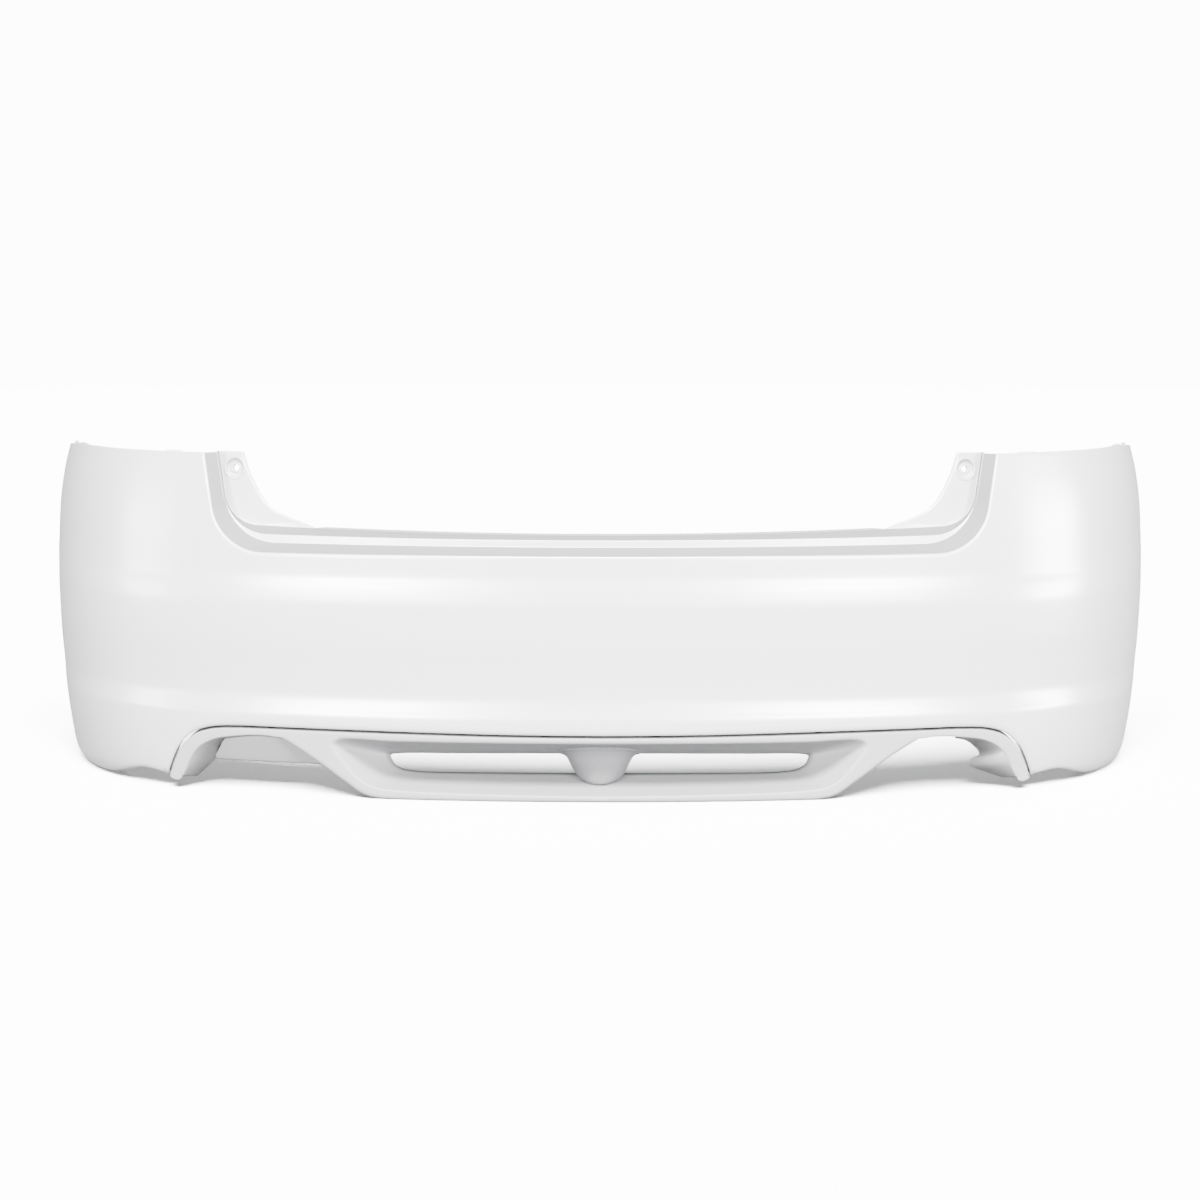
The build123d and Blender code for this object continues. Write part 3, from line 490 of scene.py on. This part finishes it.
def material(name, color, rough, grain, bump, metallic=0.0, mottle=0.03, wave=0.0, shine=0.5,
             sway=0.05):
    """Painted or moulded surface with fine grain. Mottle, wave and sway say how far its tone,
    its evenness and its roughness change; shine is the strength of its reflection."""
    m = bpy.data.materials.new(name)
    m.use_nodes = True
    nodes, links = m.node_tree.nodes, m.node_tree.links
    shader = nodes["Principled BSDF"]
    shader.inputs["Metallic"].default_value = metallic
    shader.inputs["Specular IOR Level"].default_value = shine
    where = nodes.new("ShaderNodeTexCoord")

    def noise(scale, detail):
        n = nodes.new("ShaderNodeTexNoise")
        n.inputs["Scale"].default_value = scale
        n.inputs["Detail"].default_value = detail
        n.inputs["Roughness"].default_value = 0.55
        links.new(where.outputs["Object"], n.inputs["Vector"])
        return n

    slow = noise(3.5, 3.0)
    mid = noise(60.0, 4.0)
    fine = noise(grain, 2.0)
    ramp = nodes.new("ShaderNodeValToRGB")
    dark = tuple(c * (1 - mottle) for c in color)
    light = tuple(min(1.0, c * (1 + mottle)) for c in color)
    ramp.color_ramp.elements[0].position = 0.3
    ramp.color_ramp.elements[0].color = (*dark, 1)
    ramp.color_ramp.elements[1].position = 0.7
    ramp.color_ramp.elements[1].color = (*light, 1)
    links.new(slow.outputs["Fac"], ramp.inputs["Fac"])
    speck = nodes.new("ShaderNodeMixRGB")
    speck.blend_type = "MULTIPLY"
    speck.inputs["Fac"].default_value = 0.35 * min(1.0, mottle / 0.03)
    specks = nodes.new("ShaderNodeValToRGB")
    specks.color_ramp.elements[0].position = 0.35
    specks.color_ramp.elements[0].color = (0.9, 0.9, 0.9, 1)
    specks.color_ramp.elements[1].position = 0.6
    specks.color_ramp.elements[1].color = (1, 1, 1, 1)
    links.new(mid.outputs["Fac"], specks.inputs["Fac"])
    links.new(ramp.outputs["Color"], speck.inputs["Color1"])
    links.new(specks.outputs["Color"], speck.inputs["Color2"])
    links.new(speck.outputs["Color"], shader.inputs["Base Color"])
    gloss = nodes.new("ShaderNodeMapRange")
    gloss.inputs["To Min"].default_value = max(0.02, rough - sway)
    gloss.inputs["To Max"].default_value = min(1.0, rough + sway)
    links.new(mid.outputs["Fac"], gloss.inputs["Value"])
    links.new(gloss.outputs["Result"], shader.inputs["Roughness"])
    first = nodes.new("ShaderNodeBump")
    first.inputs["Strength"].default_value = bump
    first.inputs["Distance"].default_value = 0.0004
    links.new(fine.outputs["Fac"], first.inputs["Height"])
    if wave:
        second = nodes.new("ShaderNodeBump")
        second.inputs["Strength"].default_value = wave
        second.inputs["Distance"].default_value = 0.002
        broad = noise(9.0, 1.0)
        links.new(broad.outputs["Fac"], second.inputs["Height"])
        links.new(second.outputs["Normal"], first.inputs["Normal"])
    links.new(first.outputs["Normal"], shader.inputs["Normal"])
    return m


# The ledges, valance, fin and panel are darker than the skin, because these lamps shade them less
# than the photograph's light did
primer = material("cover_primer", (0.335, 0.335, 0.342), 0.28, grain=1400, bump=0.03,
                  mottle=0.008, wave=0.02, shine=0.9, sway=0.006)
# Painted shade: the ledges' grey is darker than the skin's, to stand in for the shade in the recess
painted_shade_ledge = material("painted_shade_ledge", (0.11, 0.11, 0.114), 0.70, grain=1400, bump=0.05,
                        mottle=0.008, shine=0.12)
# Painted shade: the valance's grey is darker than the skin's, to stand in for the shade low down under the
# cover
painted_shade_low = material("painted_shade_valance", (0.195, 0.195, 0.201), 0.45, grain=1400, bump=0.06,
                      mottle=0.008, shine=0.2)
# Painted shade: the fin's dark grey stands in for the shade under the roof of the mouth
painted_shade_fin = material("painted_shade_fin", (0.10, 0.10, 0.104), 0.55, grain=1400, bump=0.06,
                      mottle=0.008, shine=0.2)
# Painted shade: the panel's plastic is darker, to stand in for the shade inside the cut-out
panel_painted_shade = material("panel_plastic_painted_shade", (0.25, 0.25, 0.257), 0.55, grain=1100, bump=0.10,
                  mottle=0.012, shine=0.2)
retainer = material("retainer_plastic", (0.52, 0.52, 0.54), 0.55, grain=800, bump=0.2)
black = material("rivet_black", (0.025, 0.025, 0.027), 0.45, grain=700, bump=0.25, mottle=0.1)
pin_black = material("rivet_pin_black", (0.04, 0.04, 0.043), 0.35, grain=900, bump=0.15, mottle=0.1)
zinc = material("zinc_plate", (0.62, 0.63, 0.65), 0.30, grain=500, bump=0.08, metallic=1.0, mottle=0.08)
spring = material("spring_steel", (0.16, 0.16, 0.17), 0.38, grain=600, bump=0.1, metallic=0.9, mottle=0.1)


# ---------------------------------------------------------------- main cover

# From the top of the recess side down, round its corner and along the bottom to the middle
RECESS_STATIONS = np.concatenate([
    np.linspace(3, 2, 31)[:-1], np.linspace(2, 1, 37)[:-1], np.linspace(1, 0, 90),
])
# For kinds of edge 0 to 6: seam, bottom, arch, wing end, flanged top, plain top, recess
EDGE_RADII = [11.0, 6.0, 3.0, 1.2, 2.0, 1.5, 4.0]
# Roundings of the recess's inner corners, from the skin inwards
RECESS_CUTS = (1.5, 2.0, 3.0)
# Stations where the sill's flange begins to run out, and where it's gone and the tab begins
FLANGE_FADES = (0.80, 0.84)
SILL_FLANGE = 28.0


def cover_edges():
    """Right-hand edges of the skin, in order round it, as rows of (length along, height)."""
    seam = seam_row(SEAM_HALF_GAP)
    seam_uv = np.stack([along(seam[:, 0], seam[:, 1]), seam[:, 1]], -1)
    low = curve([tuple(seam[-1]), *BOTTOM_LINE], 5.0)
    low_uv = np.stack([along(low[:, 0], low[:, 1]), low[:, 1]], -1)
    arch_start = along_y(WHEEL_Y - math.sqrt(ARCH_RADIUS ** 2 - WHEEL_Z ** 2), 0.0)
    level = np.linspace(low_uv[-1, 0], arch_start, 60)[1:]
    low_uv = np.concatenate([low_uv, np.stack([level, 0 * level], -1)])
    # Just short of where the wing ends
    end_y = DEPTH / 2 - 0.05
    last = math.asin(math.sqrt(ARCH_RADIUS ** 2 - (WHEEL_Y - end_y) ** 2) / ARCH_RADIUS)
    angles = np.linspace(-math.asin(WHEEL_Z / ARCH_RADIUS), last, 84)
    arch = [(along_y(WHEEL_Y - ARCH_RADIUS * math.cos(a), WHEEL_Z + ARCH_RADIUS * math.sin(a)),
             WHEEL_Z + ARCH_RADIUS * math.sin(a)) for a in angles]
    arch = np.array(arch)
    top_end = np.interp(end_y, TOP_LINE[:, 0], TOP_LINE[:, 1])
    zs = np.linspace(arch[-1, 1], top_end, 30)
    end = np.array([(along_y(end_y, z), z) for z in zs])
    ys = np.linspace(end_y, TOP_LINE[1, 0], 36)
    flanged = np.array([(along_y(y, z), z) for y, z in
                        zip(ys, np.interp(ys, TOP_LINE[:, 0], TOP_LINE[:, 1]))])
    ys = np.linspace(TOP_LINE[1, 0], TOP_LINE[0, 0], 22)
    plain = [(along_y(y, z), z) for y, z in zip(ys, np.interp(ys, TOP_LINE[:, 0], TOP_LINE[:, 1]))]
    rim_u = float(along(RECESS_RIM[3], TOP))
    plain += [(u, TOP) for u in np.linspace(plain[-1][0], rim_u, 50)[1:]]
    plain = np.array(plain)
    rim = np.array([recess_point(RECESS_RIM, s) for s in RECESS_STATIONS])
    rim_uv = np.stack([along(rim[:, 0], rim[:, 1]), rim[:, 1]], -1)
    return [seam_uv, low_uv, arch, end, flanged, plain, rim_uv]


def contour(shape):
    """Right-hand recess contour on its own depth behind the skin, one point for each station."""
    p = np.array([recess_point(shape, s) for s in RECESS_STATIONS])
    q = skin(along(p[:, 0], p[:, 1]), p[:, 1])
    q[:, 1] += shape[4]
    return q


def tab_edge():
    """Free edge of the tab and the sill, one point for each station."""
    edge = spread(curve(TAB_EDGE, 3.0), 200)
    fading, gone = FLANGE_FADES
    out = np.zeros((len(RECESS_STATIONS), 3))
    for k, s in enumerate(RECESS_STATIONS):
        if s <= gone:
            x, z = recess_point(SILL_EDGE, s)
            flange = SILL_FLANGE * min(1.0, (gone - s) / (gone - fading))
        else:
            share = ((s - gone) / (3 - gone)) ** 0.8
            x, z = edge[int(round(share * (len(edge) - 1)))]
            flange = 0.0
        out[k] = (x, skin(along(x, z), z)[1] + SILL_EDGE[4] + flange, z)
    return out


def main_cover():
    sheet = Sheet()
    edges, rows, ring = both_sides(cover_edges(), EDGE_RADII)
    pts, tris = fill(ring, pitch=(9.0, 4.0))
    sheet.put(skin(pts[:, 0], pts[:, 1]), tris)
    recess = [contour(LEDGE_INNER), contour(LEDGE_OUTER), contour(SILL_EDGE), tab_edge()]
    for k, (edge, row) in enumerate(zip(edges, rows)):
        kind = min(k, len(edges) - 1 - k)
        start = skin(row[:, 0], row[:, 1])
        true = skin(edge[:, 0], edge[:, 1])
        level = inward(edge[:, 0], edge[:, 1])
        if kind == 6:
            side = 1 if k == kind else -1
            steps = [p[::side] * (side, 1, 1) for p in recess]
            bands = divided(filleted([start, true] + steps, RECESS_CUTS), 12)
            # Each ledge has the darker grey, a painted shade, from about the middle of one rounding to that
            # of the next
            paints = [0] * 3 + [1] * 5 + [0] * 7 + [1] * 6
            sheet.strip(bands, paints=paints + [0] * (len(bands) - 1 - len(paints)))
            continue
        if kind == 0:
            end = true + (0, LEDGE_REACH, 0)
        elif kind in (1, 2, 4):
            end = true + level * RETURN_REACH
        else:
            end = true + level * WALL
        sheet.strip(filleted([start, true, end], first=0.4 if kind == 0 else 1.0))
    return sheet


def facet(sheet, centre, radius):
    """Point and outward normal of the flat that best fits a sheet near a point."""
    pts = np.concatenate(sheet.points)
    near = pts[np.linalg.norm(pts - centre, axis=1) < radius]
    middle = near.mean(0)
    out = np.linalg.svd(near - middle)[2][2]
    out = out * -np.sign(out[1])
    return centre - out * np.dot(centre - middle, out), out


def drop_disc(sheet, centre, radius):
    """Leaves out the faces whose middle is near a point."""
    pts = np.concatenate(sheet.points)
    far = [np.linalg.norm(pts[list(f)].mean(0) - centre) > radius for f in sheet.faces]
    sheet.paint = [p for p, keep in zip(sheet.paint, far) if keep]
    sheet.faces = [f for f, keep in zip(sheet.faces, far) if keep]


def turned(sheet, origin, axis, profile, steps=64):
    """Surface turned round an axis from (radius, height) points."""
    axis = Vector(axis).normalized()
    side = axis.orthogonal().normalized()
    other = axis.cross(side)
    rows = []
    for radius, height in profile:
        row = []
        for k in range(steps):
            a = 2 * math.pi * k / steps
            spoke = side * math.cos(a) + other * math.sin(a)
            row.append(tuple(Vector(origin) + axis * height + spoke * radius))
        rows.append(np.array(row))
    sheet.strip(rows, closed=True)


cover_sheet = main_cover()
boss_sheet = Sheet()
for side in (1, -1):
    u = float(along(side * TAB_BOSS[0], TAB_BOSS[1]))
    foot, out = facet(cover_sheet, skin(u, TAB_BOSS[1]) + (0, SILL_EDGE[4], 0), DISH_FLAT)
    drop_disc(cover_sheet, foot, DISH_CLEAR)
    turned(boss_sheet, foot, out, DISH_PROFILE)
for side in (1, -1):
    for x in POST_PLACES:
        u = float(along(side * x, POST_Z))
        out = normal(np.array(u), np.array(POST_Z))
        foot = skin(u, POST_Z) - out * (WALL - 1)
        turned(boss_sheet, foot, -out, POST_PROFILE)
cover = cover_sheet.build("main_cover_skin", primer, painted_shade_ledge, thickness=DRAWN_WALL)
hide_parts("main_cover")
bosses = boss_sheet.build("main_cover_bosses", primer, sharp=50)


# ---------------------------------------------------------------- lower valance

# For kinds of edge 0 to 4: blade and arm, roof of the cut-out, cut-out, tip, seam
VALANCE_RADII = [6.5, 2.5, 2.5, 2.0, 2.2]


def mouth_rings():
    """Front and back outlines of the mouth, as clockwise rings of equally many points."""
    step = 4.0
    mouth = curve(MOUTH_RIM, step)
    counts = [max(2, int(round(math.dist(a, b) / step))) for a, b in zip(MOUTH_RIM, MOUTH_RIM[1:])]
    slot = np.concatenate([
        spread(np.array([a, b], float), n + 1)[:-1] for a, b, n in zip(SLOT_RIM, SLOT_RIM[1:], counts)
    ] + [np.array([SLOT_RIM[-1]], float)])
    # Moved onto a smooth curve, each point to its own share of the length
    smooth = curve(SLOT_RIM, 1.0)
    at, fine = travelled(slot), travelled(smooth)
    at = at / at[-1] * fine[-1]
    slot = np.stack([np.interp(at, fine, smooth[:, k]) for k in (0, 1)], -1)
    return [np.concatenate([row, mirrored(row)[1:-1]]) for row in (mouth, slot)]


def cutout_back(edge, side):
    """Back edge of a cut-out, with a point for each point of its rim."""
    shape = CUTOUT_BACK_RIGHT if side > 0 else CUTOUT_BACK_LEFT
    target = curve(shape, 1.0)
    own = edge if side > 0 else mirrored(edge)
    knots = [np.linalg.norm(target - np.array(p), axis=1).argmin() for p in shape]
    marks = [np.linalg.norm(own - np.array(p), axis=1).argmin() for p in CUTOUT_RIM]
    at = np.interp(np.arange(len(own)), marks, knots)
    back = np.stack([np.interp(at, np.arange(len(target)), target[:, c]) for c in (0, 1)], -1)
    return back if side > 0 else mirrored(back)


def valance():
    sheet = Sheet()
    seam = seam_row(-SEAM_HALF_GAP)[::-1]
    right = [
        curve(ARM_OUTER, 4.0), curve(CUTOUT_ROOF, 3.0), curve(CUTOUT_RIM, 2.5),
        curve([CUTOUT_RIM[-1], *TIP_LINE, tuple(seam[0])], 2.0), seam,
    ]
    edges, rows, ring = both_sides(right, VALANCE_RADII)
    mouth, slot = mouth_rings()
    closed = np.concatenate([mouth[-1:], mouth, mouth[:1]])
    chord = closed[2:] - closed[:-2]
    tangent = chord / np.linalg.norm(chord, axis=1, keepdims=True)
    # The mouth's edge runs clockwise, so the face is on its left, outside the hole
    left = np.stack([-tangent[:, 1], tangent[:, 0]], -1)
    hole = mouth + left * np.interp(mouth[:, 1], (20, 50), MOUTH_ROLL)[:, None]
    pts, tris = fill(ring, pitch=(7.0, 3.0), holes=[hole])
    sheet.put(face(pts), tris)
    back = np.stack([slot[:, 0], np.full(len(slot), REAR + SLOT_DEPTH), slot[:, 1]], -1)
    sheet.strip(divided(filleted([face(hole), face(mouth), back]), 8), closed=True)
    for k, (edge, row) in enumerate(zip(edges, rows)):
        kind = min(k, len(edges) - 1 - k)
        side = 1 if k == kind else -1
        start, true = face(row), face(edge)
        if kind == 0:
            end = true + (0, ARM_RETURN, 0)
        elif kind == 1:
            # From the arm's own return to the back corner of the cut-out
            share = np.linspace(0, 1, len(edge))[::side, None]
            x, z = CUTOUT_BACK_RIGHT[0]
            corner = face([(side * x, z)], CUTOUT_DEPTH)
            end = (true + (0, ARM_RETURN, 0)) * (1 - share) + corner * share
        elif kind == 2:
            end = face(cutout_back(edge, side), CUTOUT_DEPTH)
        elif kind == 3:
            end = true + (0, TIP_RETURN, 0)
        else:
            end = true + (0, LEDGE_REACH, 0)
        sheet.strip(filleted([start, true, end]))
    return sheet


valance_piece = valance().build("lower_valance_shell", painted_shade_low, thickness=DRAWN_WALL)
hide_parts("lower_valance")


# ---------------------------------------------------------------- fin and blank

def roof_at(inset):
    """Height of the mouth's roof in the middle, inset behind the rear end."""
    return MOUTH_RIM[0][1] + (SLOT_RIM[0][1] - MOUTH_RIM[0][1]) * inset / SLOT_DEPTH


def floor_at(inset):
    """Height of the mouth's floor in the middle, inset behind the rear end."""
    return MOUTH_RIM[-1][1] + (SLOT_RIM[-1][1] - MOUTH_RIM[-1][1]) * inset / SLOT_DEPTH


def quarter(t, size):
    """Rise of a quarter circle: nothing until t is 0, and size at 1."""
    return size * (1 - math.sqrt(1 - min(1.0, max(0.0, t)) ** 2))


def fin():
    """Rounded prow from the floor of the mouth up to its roof, with a soft foot and a soft top."""
    sheet = Sheet()
    front = SLOT_DEPTH - 0.4
    rows = []
    for h in np.linspace(0, 1, 30):
        flare = quarter((h - FLARE_FROM) / (1 - FLARE_FROM), FLARE)
        tuck = quarter((TUCK_TO - h) / TUCK_TO, TUCK)
        row = []
        for a in np.linspace(-math.pi / 2, math.pi / 2, 61):
            reach = front - (FIN_NOSE - flare + tuck)
            inset = front - reach * abs(math.cos(a)) ** 0.92
            low, high = floor_at(inset) + 0.9, roof_at(inset) - 0.4
            z = low + (high - low) * h
            half = FIN_HALF + FIN_SPREAD * (z - floor_at(SLOT_DEPTH)) + flare - tuck
            row.append((half * math.copysign(abs(math.sin(a)) ** 0.92, a), REAR + inset, z))
        rows.append(np.array(row))
    sheet.strip(rows[::-1])
    return sheet


fin_piece = fin().build("centre_fin_shell", painted_shade_fin, thickness=THIN_WALL)
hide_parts("centre_fin")


def blank():
    """Closing panel of the left cut-out: level flange, round shoulder and a sloping face."""
    sheet = Sheet()
    share = np.linspace(0, 1, 41)
    top = np.interp(share, (0, 1), BLANK_TOP_X)
    low = np.interp(share, (0, 0.5, 1), BLANK_LOW_X)
    level = np.ones(len(share))
    a = np.stack([top, face_y(top) + LEDGE_REACH, BLANK_TOP_Z * level], -1)
    b = np.stack([top, face_y(top) + BLANK_TOP_DEPTH, BLANK_TOP_Z * level], -1)
    c = np.stack([low, face_y(low) + BLANK_LOW_DEPTH, BLANK_LOW_Z * level], -1)
    d = c + (0, 9, -2.0)
    steps = [a, a + (b - a) * 0.5] + filleted([a + (b - a) * 0.8, b, c, d], (4.0,))
    rows = []
    for step, following in zip(steps, steps[1:]):
        rows.append(step)
        # A wide band is cut into five
        if np.linalg.norm(following[0] - step[0]) > 30:
            rows += [step + (following - step) * t for t in (0.2, 0.4, 0.6, 0.8)]
    rows.append(steps[-1])
    sheet.strip(rows[::-1])
    return sheet


blank_piece = blank().build("left_cutout_panel", panel_painted_shade, thickness=THIN_WALL)
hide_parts("left_cutout_blank")


# ---------------------------------------------------------------- carried-over CAD nodes

def dress(node, finish):
    obj = frame["nodes"][node]
    obj.data.materials.clear()
    obj.data.materials.append(finish)


for node in ("valance_screws", "fin_screws", "retainer_screws_left", "retainer_screws_right"):
    dress(node, zinc)
for node in ("valance_spring_nuts", "arch_spring_nuts_left", "arch_spring_nuts_right"):
    dress(node, spring)
for node in ("side_retainer_left", "side_retainer_right"):
    dress(node, retainer)
dress("push_rivet_bodies", black)
for node in frame["nodes"]:
    if node.startswith("push_rivet_pin"):
        dress(node, pin_black)


# ---------------------------------------------------------------- studio

# Metres from here on; PITCH_DOWN and ROLL are in degrees
WALL_GLOW = 13.0
ROOM_RADIUS = 13.0
ROOM_HEIGHT = 14.0
SPOKES = 96
BOX_TURN = math.radians(24)
BOX_DISTANCE = 5.0
SIDE_POWER = {"left": 170, "right": 560}
LENS = 83.793
SENSOR = 36
EYE = (0, -4.310, 0.7923)
PITCH_DOWN = 7.047
ROLL = 0.1


def studio_material(name, values):
    """Plain material with the given inputs set."""
    m = bpy.data.materials.new(name)
    m.use_nodes = True
    for key, value in values.items():
        m.node_tree.nodes["Principled BSDF"].inputs[key].default_value = value
    return m


def staged(name, points, faces, look):
    """Part of the studio that the camera sees and that sends no light onto the object."""
    mesh = bpy.data.meshes.new(name)
    mesh.from_pydata(points, [], faces)
    mesh.materials.append(look)
    obj = bpy.data.objects.new(name, mesh)
    bpy.context.scene.collection.objects.link(obj)
    obj.visible_diffuse = False
    obj.visible_glossy = False
    return obj


paper = studio_material("studio_paper", {
    "Base Color": (0.93, 0.93, 0.93, 1), "Roughness": 0.9, "Specular IOR Level": 0.1,
})
glow = studio_material("studio_wall", {
    "Base Color": (0, 0, 0, 1), "Specular IOR Level": 0.0,
    "Emission Color": (1, 1, 1, 1), "Emission Strength": WALL_GLOW,
})
turns = [2 * math.pi * k / SPOKES for k in range(SPOKES)]
ring = [(ROOM_RADIUS * math.cos(a), ROOM_RADIUS * math.sin(a)) for a in turns]
floor = staged("studio_floor", [(x, y, 0.0) for x, y in ring], [tuple(range(SPOKES))], paper)
wall_faces = [(k, (k + 1) % SPOKES, SPOKES + (k + 1) % SPOKES, SPOKES + k) for k in range(SPOKES)]
wall = staged("studio_wall", [(x, y, z) for z in (0.0, ROOM_HEIGHT) for x, y in ring], wall_faces, glow)
wall.visible_shadow = False

# Ambient light, stronger from below in place of light thrown back by the floor
world = bpy.data.worlds.new("studio")
world.use_nodes = True
tree = world.node_tree
tree.nodes["Background"].inputs["Color"].default_value = (1, 1, 1, 1)
where = tree.nodes.new("ShaderNodeTexCoord")
split = tree.nodes.new("ShaderNodeSeparateXYZ")
rise = tree.nodes.new("ShaderNodeMapRange")
rise.interpolation_type = "SMOOTHSTEP"
for key, value in (("From Min", -0.3), ("From Max", 0.3), ("To Min", 1.1), ("To Max", 0.45)):
    rise.inputs[key].default_value = value
tree.links.new(where.outputs["Generated"], split.inputs["Vector"])
tree.links.new(split.outputs["Z"], rise.inputs["Value"])
tree.links.new(rise.outputs["Result"], tree.nodes["Background"].inputs["Strength"])
bpy.context.scene.world = world

# Lamps for the floor and lamps for the object are kept apart
floor_only = bpy.data.collections.new("floor_only")
floor_only.objects.link(floor)
object_only = bpy.data.collections.new("object_only")
for piece in bpy.context.scene.objects:
    if piece.type == "MESH" and piece not in (floor, wall):
        object_only.objects.link(piece)


def lamp(name, kind, place, target, power, receivers, size=None, angle=None):
    """Lamp that lights one collection only."""
    light = bpy.data.lights.new(name, kind)
    light.energy = power
    if size:
        light.shape = "RECTANGLE"
        light.size, light.size_y = size
    if angle:
        light.angle = math.radians(angle)
    obj = bpy.data.objects.new(name, light)
    obj.location = place
    obj.rotation_euler = (Vector(target) - Vector(place)).to_track_quat("-Z", "Y").to_euler()
    obj.light_linking.receiver_collection = receivers
    bpy.context.scene.collection.objects.link(obj)


lamp("floor_front", "SUN", (0, -3.4, 4), (0, 0, 0), 60, floor_only, angle=34)
lamp("floor_above", "SUN", (0, 0.4, 4), (0, 0, 0), 1.5, floor_only, angle=100)
lamp("top_box", "AREA", (0, -2.9, 3.7), (0, -0.2, 0.2), 2200, object_only, size=(2.6, 1.3))
for name, side in (("left", -1), ("right", 1)):
    spot = (side * (0.4 + BOX_DISTANCE * math.sin(BOX_TURN)), -0.3 - BOX_DISTANCE * math.cos(BOX_TURN), 1.5)
    lamp("low_box_" + name, "AREA", spot, (side * 0.35, -0.3, 0.25), 1150, object_only, size=(1.8, 0.3))
    lamp("side_box_" + name, "AREA", (side * 4.6, -1.5, 0.42), (0, -0.1, 0.25), SIDE_POWER[name],
         object_only, size=(1.8, 0.5))

camera = bpy.data.cameras.new("camera")
camera.lens = LENS
camera.sensor_width = SENSOR
camera.clip_start = 0.05
camera.clip_end = 100
view = bpy.data.objects.new("camera", camera)
view.location = EYE
tilt = Matrix.Rotation(math.radians(90 - PITCH_DOWN), 3, "X")
view.rotation_euler = (tilt @ Matrix.Rotation(math.radians(ROLL), 3, "Z")).to_euler()
bpy.context.scene.collection.objects.link(view)
bpy.context.scene.camera = view
